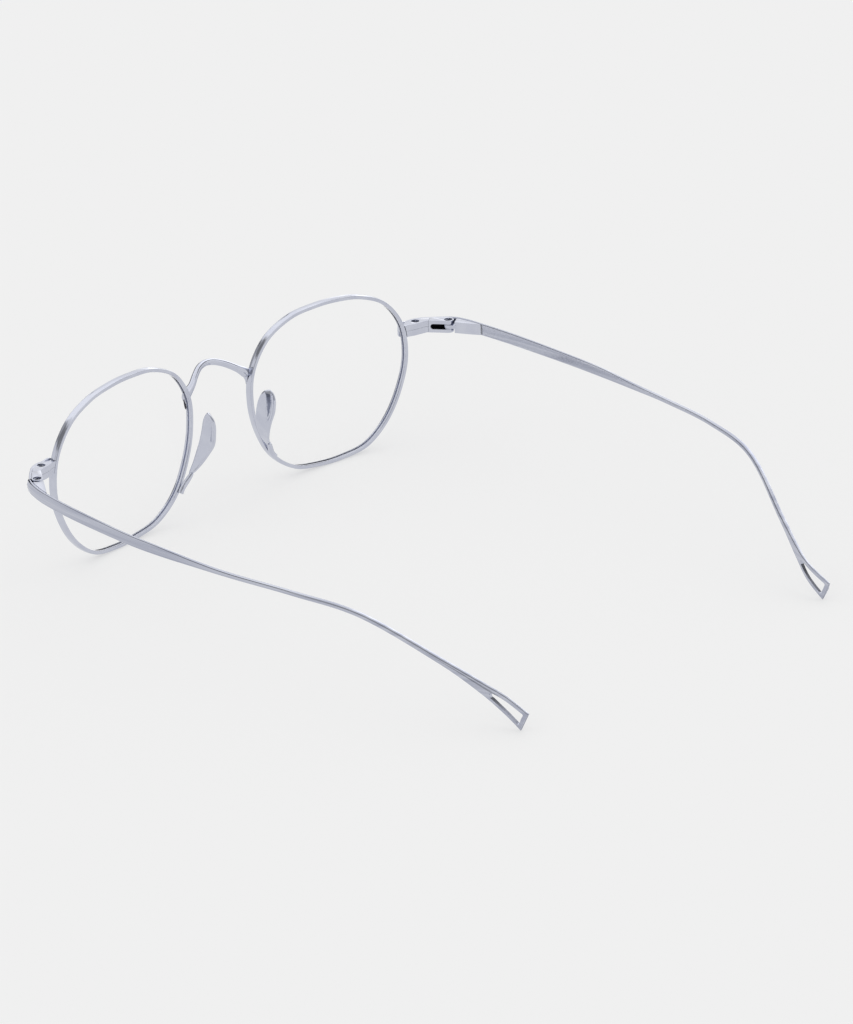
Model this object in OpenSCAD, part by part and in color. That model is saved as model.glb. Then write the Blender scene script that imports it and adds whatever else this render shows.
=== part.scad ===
// Titanium eyeglasses with wire rims, arched bridge, paddle nose pads and folding temples.
// Millimetres, +Z up. +X is the wearer's left, +Y runs back along the temples.
// The frame stands open on its rims and temple tips, with the origin under its middle.

/* [Lenses] */
// Width of each lens
lens_w = 47.5; // [43:0.5:52]
// Height of each lens
lens_h = 40.3; // [36:0.5:45]
// Distance between the two lenses
lens_gap = 19.5; // [17:0.5:22]
// Thickness of the lenses
lens_t = 1.2; // [0.8:0.1:1.4]
// Radius of the curve that lenses and rims share
base_radius = 250; // [180:10:400]
// Angle by which each lens turns back at its outer side
wrap = 5; // [2:0.5:8]

/* [Rims] */
// Width of the rim wire seen from the front
rim_t = 0.8; // [0.7:0.05:1.1]
// Depth of the rim wire from front to back
rim_d = 1.8; // [1.7:0.1:2.3]
// Depth of the groove that the lens edge sits in
groove_d = 0.3; // [0.2:0.05:0.4]
// Radius of the rim wire's soft edges
rim_soft = 0.15; // [0.05:0.05:0.2]

/* [Bridge] */
// Diameter of the bridge wire
bridge_d = 1.6; // [1.3:0.1:2]
// Rise of the bridge from its roots on the rims to its crown
bridge_rise = 4.6; // [3:0.2:7]
// Height of the bridge's roots above the middle of the lenses
bridge_up = 8.5; // [7:0.5:10]
// Reach of the bridge's crown in front of its roots
bridge_bow = 3.2; // [2:0.2:4.6]
// Length of the feet that run down the fronts of the rims
foot_l = 3; // [2.4:0.2:5]

/* [Nose pads] */
// Length of each pad from its neck to its crown
pad_l = 16; // [13:0.5:18]
// Depth of each pad from front to back at its widest
pad_d = 5.4; // [4.6:0.2:6.4]
// Thickness of each pad
pad_t = 0.8; // [0.6:0.1:1.1]
// Diameter of the arm that carries each pad
arm_d = 1.2; // [1:0.1:1.6]

/* [Endpieces] */
// Height of the endpieces and hinges
block_h = 3; // [2.7:0.1:3.4]
// Thickness of the plate that wraps the corner
plate_t = 0.6; // [0.5:0.05:0.7]
// Distance of the hinge pin outside the rim
hinge_out = 9; // [8.6:0.2:10.4]
// Distance of the hinge pin behind the rim's side
hinge_back = 5.4; // [5:0.2:7]
// Height of the hinges above the middle of the lenses
hinge_up = 6.6; // [5.6:0.2:7.6]
// Angle between the hinge and straight back
hinge_turn = 32; // [28:1:36]

/* [Hinges] */
// Width of the hinge knuckles
knuckle_w = 2.7; // [2.5:0.1:3]
// Height of the slot between the two ears
slot_h = 1.3; // [1.1:0.1:1.5]
// Length of the slot ahead of the pin
slot_l = 4; // [3:0.2:4.4]
// Diameter of the screw shanks
screw_d = 1.2; // [1:0.1:1.3]
// Diameter of the screw heads
head_d = 1.9; // [1.7:0.1:2]
// Depth of the screw heads
head_t = 0.35; // [0.25:0.05:0.45]
// Thickness of the washers between tongue and ears
washer_t = 0.15; // [0.1:0.05:0.2]

/* [Temples] */
// Distance from the hinge straight back to the tip
temple_reach = 138.8; // [120:0.2:150]
// Height of the temple plate
temple_h = 3; // [2.6:0.1:3.4]
// Thickness of the temple plate
temple_t = 1; // [0.8:0.1:1.2]
// Diameter of the wire that the temple narrows to
wire_d = 1.2; // [1:0.1:1.5]
// Height of the flared tip at its end
tip_h = 5.5; // [4.5:0.25:7]
// Width of the legs around the opening in the tip
tip_leg = 1; // [0.8:0.05:1.2]
// Bow of the tip's rounded end
tip_bow = 0.4; // [0.2:0.1:0.8]

/* [Hidden] */
$fn = 48;

titanium = [0.72, 0.74, 0.80];
titanium_worn = [0.66, 0.68, 0.75];
screw_steel = [0.45, 0.46, 0.50];
clear_lens = [0.90, 0.94, 0.96, 0.25];

// Clearances
seat_gap = 0.03;      // between pieces that are brazed or screwed together
run_gap = 0.05;       // between the pin and the tongue's bore, and the tongue and its washers
swing_gap = 0.45;     // between the ears and the solid part of the temple
butt_gap = 0.1;       // between the endpiece and the open temple
screw_gap = 0.02;     // between a screw's shank and the thread it fills

// Rim and lens
rim_out = rim_t - groove_d;                 // how far the rim wire reaches outside the lens
lens_x = (lens_gap + lens_w) / 2;           // middle of the left lens
// The lens outline in half widths and half heights, anticlockwise from its outer side
outline = [[1, 0.02], [0.95, 0.43], [0.74, 0.76], [0.44, 0.93], [0.14, 0.99], [-0.15, 1], [-0.47, 0.96],
    [-0.78, 0.78], [-0.97, 0.43], [-0.99, 0.02], [-0.9, -0.37], [-0.73, -0.7], [-0.46, -0.92], [-0.15, -0.99],
    [0.15, -1], [0.47, -0.94], [0.73, -0.71], [0.91, -0.37]];
outline_steps = 5;
lens_z = -min([for (p = lens_outline(rim_out)) p[1]]);  // the rims stand on the ground

// Endpiece and hinge, seen from above
side_x = lens_x + (lens_w / 2 + rim_out) * cos(wrap);
side_y = (lens_w / 2) * sin(wrap) + bow(lens_w / 2);
hinge_x = side_x + hinge_out;
hinge_y = side_y + hinge_back;
hinge_z = lens_z + hinge_up;                // middle height of endpieces and hinges
block_top = hinge_z + block_h / 2;
block_bottom = hinge_z - block_h / 2;
knuckle_r = knuckle_w / 2;
plate_out = knuckle_r + plate_t + 2 * seat_gap;  // outer face of the plate, from the pin
rim_front_y = side_y - rim_d / 2;
rim_back_y = side_y + rim_d / 2;
leaf_start = -slot_l - 0.5;                 // where the hinge leaf meets the rim blocks
rim_screw_x = side_x + 3;
rim_screw_y = side_y + 0.25;
// Outer face of the endpiece from in front of the rim to beyond the butt at the hinge
endpiece_face = open_curve([[side_x - 1, rim_front_y - seat_gap - plate_t],
    [side_x + 1.6, rim_front_y - seat_gap - plate_t - 0.05], [side_x + 3.4, side_y - 1.45],
    [side_x + 5.3, side_y - 0.7], hinge_point(plate_out - 1.25, -5.2), hinge_point(plate_out - 0.65, -3),
    hinge_point(plate_out + 0.04, 0.2)], 5);

// Hinge stack
shank_r = screw_d / 2;
head_r = head_d / 2;
head_sink = 0.05;                           // the heads lie this deep
driver_w = 0.28;                            // slot in the screw heads
driver_t = 0.2;
plate_lip = 0.4;                            // the plate's extra height at the rim, above and below
solid_from = knuckle_r + swing_gap;         // the temple is solid behind this distance from the pin
tongue_r = knuckle_r - 0.1;
tongue_root = 0.3;                          // the tongue runs this far into the wedge
washer_r = knuckle_r - 0.1;
wedge_end = 10;                             // step of the temple's path where the wedge ends
wedge_step = 0.12;                          // the wedge is lower than the temple by this much
edge_share = 0.42;                          // rounding of the temple's edges, as a share of its thickness
tongue_h = slot_h - 2 * washer_t - 2 * run_gap;
temple_in = knuckle_r + butt_gap;           // inner face of the open temple, from the pin

// Temple path: share of the reach, distance outside the hinge, share of the drop, height, thickness
temple_start = hinge_point(temple_in + temple_t / 2, -0.2);
temple_rows = [
    [0, temple_start[0] - hinge_x, 0, temple_h, temple_t],
    [0.02, 2.9, 0.002, temple_h, temple_t],
    [0.06, 4.2, 0.018, temple_h, temple_t],
    [0.14, 5.3, 0.04, temple_h * 0.98, temple_t],
    [0.26, 5.9, 0.07, temple_h * 0.88, temple_t * 0.95],
    [0.34, 5.6, 0.084, temple_h * 0.8, temple_t * 0.95],
    [0.42, 4.7, 0.1, (temple_h + wire_d) / 2 - 0.5, (temple_t + wire_d) / 2],
    [0.5, 3.6, 0.11, wire_d, wire_d],
    [0.62, 0.9, 0.126, wire_d, wire_d],
    [0.74, -3.6, 0.208, wire_d * 1.05, wire_d],
    [0.86, -11.3, 0.551, wire_d * 1.3, wire_d],
    [0.925, -15.3, 0.765, tip_h * 0.51, wire_d * 0.9],
    [0.96, -16.9, 0.879, tip_h * 0.78, wire_d * 0.8],
    [1, -17.4, 1, tip_h, wire_d * 0.75]];
tip_fall = 30;                              // slope of the tip below level
tip_z = cos(tip_fall) * tip_h / 2 - sin(tip_fall) * tip_bow;  // the tip's low corner touches the ground
opening_start = 8;                          // steps of the path from the tip's end
opening_end = 1;
temple_drop = hinge_z - tip_z;
temple_path = open_curve([for (r = temple_rows)
    [hinge_x + r[1], temple_start[1] + r[0] * temple_reach, hinge_z - r[2] * temple_drop, r[3], r[4]]], 5);

// Places of the bridge and the nose pads
root_in = 0.2;                              // the wire's middle stands this far in from the rims' sides
root_proud = 0.18;                          // and this far in front of them
root_x = lens_gap / 2 - root_in;            // where the bridge meets the rims
root_y = -lens_w / 2 * sin(wrap) + bow(lens_w / 2) - rim_d / 2 - root_proud;
root_z = lens_z + bridge_up;
pad_x = lens_gap / 2 - 0.75;                // nearest the nose
pad_y = 2;
pad_z = lens_z - 9.8;                       // the neck
// Side view of the pad: share of its depth, share of its length
pad_outline = [[-0.14, 0.03], [0.08, 0.05], [0.33, 0.17], [0.61, 0.33], [0.85, 0.48], [1.02, 0.65],
    [1.08, 0.81], [1.02, 0.92], [0.85, 0.98], [0.63, 1], [0.4, 0.95], [0.2, 0.84], [0.07, 0.69],
    [-0.05, 0.5], [-0.15, 0.27]];
// Front view of the strip: distance from pad_x, share of the length
pad_strip = [[3.95, 0], [3.2, 0.07], [2, 0.18], [0.95, 0.33], [0.25, 0.48], [-0.1, 0.66], [0.05, 0.85],
    [0.6, 1.04]];
arm_places = [53, 54];                      // the arm lies halfway after these steps of the outline
arm_lift = 0.12;                            // the arm's bend clears the rim by this much

// The bridge's front and the tips' back set the middle of the frame
bridge_front = root_y - bridge_bow - bridge_d / 2;
tip_back = temple_start[1] + temple_reach + sin(tip_fall) * tip_h / 2 - cos(tip_fall) * tip_bow;
middle_y = (tip_back + bridge_front) / 2;
past_all = 2 * lens_h;                      // longer than any piece that is cut

// Catmull-Rom point between p1 and p2
function between(p0, p1, p2, p3, t) =
    (2 * p1 + (p2 - p0) * t + (2 * p0 - 5 * p1 + 4 * p2 - p3) * t * t
    + (3 * p1 - p0 - 3 * p2 + p3) * t * t * t) / 2;

function open_curve(p, n) = let (last = len(p) - 1) concat(
    [for (i = [0 : last - 1]) for (k = [0 : n - 1])
        between(p[max(i - 1, 0)], p[i], p[i + 1], p[min(i + 2, last)], k / n)],
    [p[last]]);

function closed_curve(p, n) = let (m = len(p))
    [for (i = [0 : m - 1]) for (k = [0 : n - 1])
        between(p[(i + m - 1) % m], p[i], p[(i + 1) % m], p[(i + 2) % m], k / n)];

// Depth of the base curve at a distance from the lens's middle
function bow(r) = base_radius - sqrt(base_radius * base_radius - r * r);

// A point in the hinge's own frame: p outwards and q back from the pin
function hinge_point(p, q) = [hinge_x + p * cos(hinge_turn) + q * sin(hinge_turn),
    hinge_y - p * sin(hinge_turn) + q * cos(hinge_turn)];

function unit(v) = v / norm(v);
function flat(v) = [v[0], v[1]];
function place(v) = [v[0], v[1], v[2]];

// Outline of the lens, moved outwards by r
function lens_outline(r) = let (
    c = closed_curve([for (p = outline) [p[0] * lens_w / 2, p[1] * lens_h / 2]], outline_steps),
    m = len(c))
    [for (i = [0 : m - 1]) let (d = unit(c[(i + 1) % m] - c[(i + m - 1) % m])) c[i] + r * [d[1], -d[0]]];

// The side view of a path point
function flat_side(v) = [v[1], v[2]];

function reversed(c) = [for (i = [len(c) - 1 : -1 : 0]) c[i]];

// An outline from its upper side, the same below
function both_sides(c) = concat(c, [for (i = [len(c) - 1 : -1 : 0]) [c[i][0], -c[i][1]]]);

// How far back a point seen from above lies from the hinge pin
function back_from_pin(p) = (p[0] - hinge_x) * sin(hinge_turn) + (p[1] - hinge_y) * cos(hinge_turn);

// A point of the lens's frame in the frame of the glasses
function lens_point(u, y, v) = [lens_x + u * cos(wrap) - y * sin(wrap), u * sin(wrap) + y * cos(wrap),
    lens_z + v];

// A plane curve moved to its left by d
function beside(c, d) = [for (i = [0 : len(c) - 1])
    let (v = unit(flat(c[min(i + 1, len(c) - 1)] - c[max(i - 1, 0)]))) flat(c[i]) + d * [-v[1], v[0]]];

// Twelve points around a rounded bar w wide and h high
function bar_section(w, h, c) = [for (k = [0 : 3]) for (a = [15, 45, 75])
    [(k == 0 || k == 3 ? 1 : -1) * (w / 2 - c) + c * cos(a + 90 * k),
     (k < 2 ? 1 : -1) * (h / 2 - c) + c * sin(a + 90 * k)]];

// A ring of section points at one place of a path, with its first axis level
function ring(path, i, section) = let (
    d = unit(place(path[min(i + 1, len(path) - 1)] - path[max(i - 1, 0)])),
    side = unit([d[1], -d[0], 0]),
    up = cross(side, d))
    [for (s = section) place(path[i]) + s[0] * side + s[1] * up];

module skin(rings) {
    n = len(rings[0]);
    m = len(rings);
    polyhedron(points = [for (r = rings) for (p = r) p],
        faces = concat(
            [[for (j = [0 : n - 1]) j]],
            [for (i = [0 : m - 2]) for (j = [0 : n - 1])
                [i * n + j, (i + 1) * n + j, (i + 1) * n + (j + 1) % n, i * n + (j + 1) % n]],
            [[for (j = [n - 1 : -1 : 0]) (m - 1) * n + j]]), convexity = 6);
}

// Moves a piece into the part's frame
module placed() translate([0, -middle_y, 0]) children();

module right() mirror([1, 0, 0]) children();

// The lens's own frame: x outwards, y back, z up from its middle
module at_lens() translate([lens_x, 0, lens_z]) rotate([0, 0, wrap]) children();

// The hinge's own frame: x outwards, y back, from the pin
module at_hinge() translate([hinge_x, hinge_y, 0]) rotate([0, 0, -hinge_turn]) children();

// A profile in the lens plane, d deep about the plane
module lens_prism(points, d) rotate([90, 0, 0]) translate([0, 0, -d / 2]) linear_extrude(d) polygon(points);

module rim() {
    outer = lens_outline(0);
    m = len(outer);
    groove_w = lens_t / 2 + seat_gap;
    section = [[-groove_d, groove_w], [seat_gap, groove_w], [seat_gap, -groove_w], [-groove_d, -groove_w],
        [-groove_d, rim_soft - rim_d / 2], [rim_soft - groove_d, -rim_d / 2],
        [rim_out - rim_soft, -rim_d / 2], [rim_out, rim_soft - rim_d / 2],
        [rim_out, rim_d / 2 - rim_soft], [rim_out - rim_soft, rim_d / 2],
        [rim_soft - groove_d, rim_d / 2], [-groove_d, rim_d / 2 - rim_soft]];
    n = len(section);
    color(titanium) at_lens() polyhedron(
        points = [for (i = [0 : m - 1])
            let (d = unit(outer[(i + 1) % m] - outer[(i + m - 1) % m])) for (s = section)
            [outer[i][0] + s[0] * d[1], bow(norm(outer[i])) + s[1], outer[i][1] - s[0] * d[0]]],
        faces = [for (i = [0 : m - 1]) for (j = [0 : n - 1])
            [i * n + j, i * n + (j + 1) % n, (i + 1) % m * n + (j + 1) % n, (i + 1) % m * n + j]],
        convexity = 10);
}

module lens() {
    color(clear_lens) at_lens() intersection() {
        lens_prism(lens_outline(0), 12);
        translate([0, base_radius, 0]) difference() {
            sphere(base_radius + lens_t / 2, $fn = 360);
            sphere(base_radius - lens_t / 2, $fn = 360);
        }
    }
}

// A round ring square to a path that runs across the nose
function wire_ring(path, i, w) = let (
    d = unit(place(path[min(i + 1, len(path) - 1)] - path[max(i - 1, 0)])),
    top = unit(cross(d, [0, 1, 0])),
    side = cross(top, d))
    [for (a = [0 : 30 : 330]) place(path[i]) + w / 2 * (cos(a) * side + sin(a) * top)];

// The bridge is one wire: foot, arch, crown, arch and foot, notched where it sits on the rims
module bridge() {
    // Half of the wire from its crown: shares of root_x, of the bow and of the rise, then its thickness
    arch_rows = [[0.257, 0.863, 0.924, 1], [0.513, 0.503, 0.71, 1], [0.77, 0.107, 0.378, 1.1],
        [1, 0, 0.03, 1.5]];
    arch = [for (r = arch_rows)
        [r[0] * root_x, root_y - r[1] * bridge_bow, root_z + r[2] * bridge_rise, r[3]]];
    // Distances from the root outwards and back, share of the foot's length, then its thickness
    foot_rows = [[0.4, 0.2, 0.4, 0.9], [0.5, 0.3, 0.75, 0.7], [0.5, 0.3, 1, 0.45]];
    foot = [for (r = foot_rows) [root_x + r[0], root_y + r[1], root_z - r[2] * foot_l, r[3]]];
    half = concat(arch, foot);
    path = open_curve(concat(
        [for (r = reversed(half)) [-r[0], r[1], r[2], r[3]]],
        [[0, root_y - bridge_bow, root_z + bridge_rise, 1]],
        half), 4);
    color(titanium) difference() {
        skin([for (i = [0 : len(path) - 1]) wire_ring(path, i, bridge_d * path[i][3])]);
        for (side = [0, 1]) mirror([side, 0, 0]) at_lens()
            translate([0, bow(lens_w / 2) - rim_d / 2 - seat_gap + 5, 0])
                lens_prism(lens_outline(rim_out + seat_gap), 10);
    }
}

// A paddle cut from a curved strip: its side outline crossed with its profile from the front
module nose_pad() {
    side = closed_curve([for (p = pad_outline) [pad_y + p[0] * pad_d, pad_z + p[1] * pad_l]], 5);
    strip = open_curve([for (p = pad_strip) [pad_x + p[0], pad_z + p[1] * pad_l]], 4);
    color(titanium) intersection() {
        rotate([90, 0, 90]) linear_extrude(lens_gap) polygon(side);
        translate([0, pad_y + 2 * pad_d, 0]) rotate([90, 0, 0]) linear_extrude(3 * pad_d)
            polygon(concat(beside(strip, pad_t / 2), reversed(beside(strip, -pad_t / 2))));
    }
}

// The arm lies on the back of the rim and rises to the pad's neck
module pad_arm() {
    edge = lens_outline(0);
    seats = [for (i = arm_places) (edge[i] + edge[i + 1]) / 2];
    rise = (rim_d + arm_d) / 2 + arm_lift;
    rim_seat = [for (s = seats) lens_point(s[0] - arm_lift, bow(norm(s)) + rise, s[1])];
    neck = [pad_x + pad_strip[0][0] + arm_lift, pad_y - 0.03 * pad_d, pad_z - arm_lift];
    path = open_curve(concat([neck], rim_seat), 4);
    color(titanium) skin([for (i = [0 : len(path) - 1]) wire_ring(path, i, arm_d)]);
}

// The outer plate wraps the corner from the rim's front to the hinge
module endpiece() {
    nose = side_x - 0.9;
    color(titanium) intersection() {
        translate([0, 0, block_bottom - plate_lip]) linear_extrude(block_h + 2 * plate_lip)
            polygon(concat(endpiece_face, reversed(beside(endpiece_face, plate_t))));
        translate([0, hinge_y + 2, hinge_z]) rotate([90, 0, 0]) linear_extrude(hinge_back + 14)
            polygon(both_sides(open_curve([[nose, block_h * 0.3], [nose + 0.5, block_h / 2 + plate_lip * 0.8],
                [nose + 1.6, block_h / 2 + plate_lip], [nose + 3.2, block_h / 2 + plate_lip * 0.5],
                [nose + 5, block_h / 2], [hinge_x + 4, block_h / 2]], 4)));
        ahead_of(-butt_gap / 2);
    }
}

// Plan of everything behind the plate, from the rim to the ears
module core_plan() polygon(concat(
    [for (p = beside(endpiece_face, plate_t + seat_gap)) if (back_from_pin(p) < -0.5) p],
    [hinge_point(0, 0), hinge_point(-knuckle_r, 0), hinge_point(-knuckle_r - 0.4, leaf_start - 0.4),
     [side_x + 1.5, rim_back_y + 0.6], [side_x + 0.1, rim_back_y], [side_x - 1, rim_back_y]]));

// Everything ahead of a line across the hinge, or behind it, q back from the pin
module ahead_of(q) at_hinge() translate([-past_all / 2, q - past_all, 0]) cube(past_all);

module behind(q) at_hinge() translate([-past_all / 2, q, 0]) cube(past_all);

// A screw hole from above: recess for the head, then the bore
module screw_hole() {
    translate([0, 0, block_bottom - 1]) cylinder(r = shank_r + screw_gap, h = block_h + 2);
    translate([0, 0, block_top - head_t - head_sink]) cylinder(r = head_r + seat_gap, h = 2);
}

module screw() {
    top = block_top - head_sink;
    color(screw_steel) difference() {
        union() {
            translate([0, 0, block_bottom]) cylinder(r = shank_r, h = top - block_bottom - head_t / 2);
            translate([0, 0, top - head_t + seat_gap]) cylinder(r = head_r, h = head_t - seat_gap);
        }
        translate([-head_r - 1, -driver_w / 2, top - driver_t]) cube([2 * head_r + 2, driver_w, 1]);
    }
}

module rim_block(low, high) color(titanium) difference() {
    intersection() {
        translate([0, 0, low]) linear_extrude(high - low) core_plan();
        ahead_of(leaf_start - seat_gap);
    }
    at_lens() lens_prism(lens_outline(rim_out + seat_gap), 4 * rim_d);
    translate([rim_screw_x, rim_screw_y, 0]) screw_hole();
}

module rim_block_upper() rim_block(hinge_z + seat_gap / 2, block_top);

module rim_block_lower() rim_block(block_bottom, hinge_z - seat_gap / 2);

module rim_screw() translate([rim_screw_x, rim_screw_y, 0]) rotate(wrap + 60) screw();

// The leaf behind the plate, with two ears and an open slot between them
module hinge_front() color(titanium) difference() {
    union() {
        intersection() {
            translate([0, 0, block_bottom]) linear_extrude(block_h) core_plan();
            behind(leaf_start);
        }
        at_hinge() translate([0, 0, block_bottom]) cylinder(r = knuckle_r, h = block_h);
    }
    at_hinge() {
        translate([-2 * knuckle_w, slot_h / 2 - slot_l, hinge_z]) {
            translate([0, 0, -slot_h / 2]) cube([4 * knuckle_w, slot_l + knuckle_w, slot_h]);
            rotate([0, 90, 0]) cylinder(r = slot_h / 2, h = 4 * knuckle_w);
        }
        screw_hole();
    }
}

module hinge_screw() at_hinge() rotate(40) screw();

module hinge_washers() color(titanium_worn) at_hinge() for (z = [-slot_h / 2, slot_h / 2 - washer_t])
    translate([0, 0, hinge_z + z]) difference() {
        cylinder(r = washer_r, h = washer_t);
        translate([0, 0, -1]) cylinder(r = shank_r + screw_gap, h = 2);
    }

// The temple's side of the hinge: a tongue between the ears, and a wedge brazed inside the temple
module temple_hinge() {
    inner = [for (i = [0 : wedge_end]) beside(temple_path, temple_path[i][4] / 2 + seat_gap)[i]];
    color(titanium) difference() {
        union() {
            intersection() {
                translate([0, 0, block_bottom - 1]) linear_extrude(block_h + 2)
                    polygon(concat([hinge_point(-knuckle_r, 0)], reversed(inner)));
                behind(solid_from);
                wedge_side();
            }
            at_hinge() translate([0, 0, hinge_z - tongue_h / 2]) linear_extrude(tongue_h) {
                circle(tongue_r);
                translate([-tongue_r, 0]) square([2 * tongue_r, solid_from + tongue_root]);
            }
        }
        at_hinge() cylinder(r = shank_r + run_gap, h = past_all);
    }
}

// Side view of the wedge, a little lower than the temple
module wedge_side() {
    path = [for (i = [0 : wedge_end + 1]) temple_path[i]];
    translate([hinge_x - past_all / 2, 0, 0]) rotate([90, 0, 90]) linear_extrude(past_all) polygon(concat(
        [for (p = path) [p[1], p[2] + p[3] / 2 - wedge_step]],
        reversed([for (p = path) [p[1], p[2] - p[3] / 2 + wedge_step]])));
}

module temple() color(titanium) difference() {
    skin([for (i = [0 : len(temple_path) - 1]) let (w = temple_path[i][4], h = temple_path[i][3])
        ring(temple_path, i, bar_section(w, h, min(w, h) * edge_share))]);
    ahead_of(butt_gap / 2);
    tip_opening();
    behind_tip();
}

// The opening in the tip widens with it and starts round
module tip_opening() {
    last = len(temple_path) - 1;
    path = [for (i = [last - opening_start : last - opening_end]) temple_path[i]];
    line = [for (p = path) flat_side(p)];
    half = [for (p = path) p[3] / 2 - tip_leg];
    rotate([90, 0, 90]) linear_extrude(past_all) {
        polygon(concat(
            [for (i = [0 : len(path) - 1]) beside(line, half[i])[i]],
            [for (i = [len(path) - 1 : -1 : 0]) beside(line, -half[i])[i]]));
        translate(line[0]) circle(half[0]);
    }
}

// Everything behind the arc that ends the tip
module behind_tip() {
    end = temple_path[len(temple_path) - 1];
    arc_r = (tip_h * tip_h / 4 + tip_bow * tip_bow) / 2 / tip_bow;
    translate([0, end[1], end[2]]) rotate([-tip_fall, 0, 0]) difference() {
        translate([0, -2 * tip_bow, -tip_h]) cube([past_all, tip_h, 2 * tip_h]);
        translate([-1, -arc_r, 0]) rotate([0, 90, 0]) cylinder(r = arc_r, h = past_all + 2);
    }
}

placed() rim();  // rim_left
placed() right() rim();  // rim_right
placed() lens();  // lens_left
placed() right() lens();  // lens_right
placed() bridge();
placed() nose_pad();  // nose_pad_left
placed() right() nose_pad();  // nose_pad_right
placed() pad_arm();  // pad_arm_left
placed() right() pad_arm();  // pad_arm_right
placed() endpiece();  // endpiece_left
placed() right() endpiece();  // endpiece_right
placed() rim_block_upper();  // rim_block_upper_left
placed() right() rim_block_upper();  // rim_block_upper_right
placed() rim_block_lower();  // rim_block_lower_left
placed() right() rim_block_lower();  // rim_block_lower_right
placed() rim_screw();  // rim_screw_left
placed() right() rim_screw();  // rim_screw_right
placed() hinge_front();  // hinge_front_left
placed() right() hinge_front();  // hinge_front_right
placed() hinge_screw();  // hinge_screw_left
placed() right() hinge_screw();  // hinge_screw_right
placed() hinge_washers();  // hinge_washers_left
placed() right() hinge_washers();  // hinge_washers_right
placed() temple_hinge();  // temple_hinge_left
placed() right() temple_hinge();  // temple_hinge_right
placed() temple();  // temple_left
placed() right() temple();  // temple_right
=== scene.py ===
"""Titanium eyeglasses on a pale floor, seen from behind the wearer's left shoulder.

Lengths are written in millimetres and turned into metres where a mesh is made.
+X is the wearer's left, +Y runs back along the temples, and the rims stand on z = 0.
"""
import math

import bmesh
import bpy
import numpy as np
from mathutils import Matrix, Vector


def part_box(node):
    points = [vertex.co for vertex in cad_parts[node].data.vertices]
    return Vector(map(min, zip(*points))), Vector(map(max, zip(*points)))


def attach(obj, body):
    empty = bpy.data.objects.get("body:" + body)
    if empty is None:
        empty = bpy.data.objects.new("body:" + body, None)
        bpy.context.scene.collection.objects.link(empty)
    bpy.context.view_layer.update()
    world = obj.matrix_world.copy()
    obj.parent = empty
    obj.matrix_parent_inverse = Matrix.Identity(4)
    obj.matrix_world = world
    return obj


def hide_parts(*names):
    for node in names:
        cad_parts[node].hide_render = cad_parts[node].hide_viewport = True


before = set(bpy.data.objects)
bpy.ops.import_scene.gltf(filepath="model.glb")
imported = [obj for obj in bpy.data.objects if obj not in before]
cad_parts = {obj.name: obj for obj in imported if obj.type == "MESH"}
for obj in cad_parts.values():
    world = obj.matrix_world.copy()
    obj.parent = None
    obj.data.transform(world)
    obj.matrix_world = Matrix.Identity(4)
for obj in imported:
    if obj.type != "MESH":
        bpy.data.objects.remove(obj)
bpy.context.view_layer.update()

MM = 0.001

# Sizes, as in the part's source
LENS_W, LENS_H, LENS_GAP, LENS_T = 47.5, 40.3, 19.5, 1.2
BASE_RADIUS, WRAP = 250.0, math.radians(5)
RIM_T, RIM_D, GROOVE_D = 0.8, 1.8, 0.3
BRIDGE_D, BRIDGE_RISE, BRIDGE_UP, BRIDGE_BOW, FOOT_L = 1.6, 4.6, 8.5, 3.2, 3.0
PAD_L, PAD_D, PAD_T, ARM_D = 16.0, 5.4, 0.8, 1.2
BLOCK_H, PLATE_T = 3.0, 0.6
HINGE_OUT, HINGE_BACK, HINGE_UP, HINGE_TURN = 9.0, 5.4, 6.6, math.radians(32)
KNUCKLE_W, SCREW_D, HEAD_D, HEAD_T = 2.7, 1.2, 1.9, 0.35
SLOT_H, SLOT_L, WASHER_T = 1.3, 4.0, 0.15
RUN_GAP, SWING_GAP, WEDGE_STEP = 0.05, 0.45, 0.12
TEMPLE_REACH, TEMPLE_H, TEMPLE_T, WIRE_D = 138.8, 3.0, 1.0, 1.2
TIP_H, TIP_LEG, TIP_BOW, TIP_FALL = 5.5, 1.0, 0.4, math.radians(30)
SEAT_GAP, BUTT_GAP, HEAD_SINK = 0.03, 0.1, 0.05

# Sizes of the dressing alone
RIM_LIP, GROOVE_W = 0.14, 0.5      # how much further the rim reaches over the lens, and its groove's width
PLATE_LIP = 0.25                   # how much taller the corner plate is where it lies on the rim
TIP_ROUND, TIP_END_BOW, TIP_TRIM = 0.55, 0.65, 0.03      # the tip's end: its corners, its bow, what it loses
HOLE_PLAY, DRIVER_W, DRIVER_T, HEAD_DOME = 0.02, 0.28, 0.2, 0.09      # the screws' holes, slots and heads
RIM_STEPS, LENS_STEPS, TEMPLE_STEPS = 14, 8, 20      # points of a curve for each of its rows

OUTLINE = [(1, 0.02), (0.95, 0.43), (0.74, 0.76), (0.44, 0.93), (0.14, 0.99), (-0.15, 1), (-0.47, 0.96),
           (-0.78, 0.78), (-0.97, 0.43), (-0.99, 0.02), (-0.9, -0.37), (-0.73, -0.7), (-0.46, -0.92),
           (-0.15, -0.99), (0.15, -1), (0.47, -0.94), (0.73, -0.71), (0.91, -0.37)]


# Curves
def between(p0, p1, p2, p3, t):
    """Catmull-Rom point between p1 and p2."""
    return (2 * p1 + (p2 - p0) * t + (2 * p0 - 5 * p1 + 4 * p2 - p3) * t * t
            + (3 * p1 - p0 - 3 * p2 + p3) * t ** 3) / 2


def open_curve(points, steps):
    p = np.array(points, float)
    last = len(p) - 1
    rows = [between(p[max(i - 1, 0)], p[i], p[i + 1], p[min(i + 2, last)], k / steps)
            for i in range(last) for k in range(steps)]
    return np.array(rows + [p[last]])


def closed_curve(points, steps):
    p = np.array(points, float)
    m = len(p)
    return np.array([between(p[i - 1], p[i], p[(i + 1) % m], p[(i + 2) % m], k / steps)
                     for i in range(m) for k in range(steps)])


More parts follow.
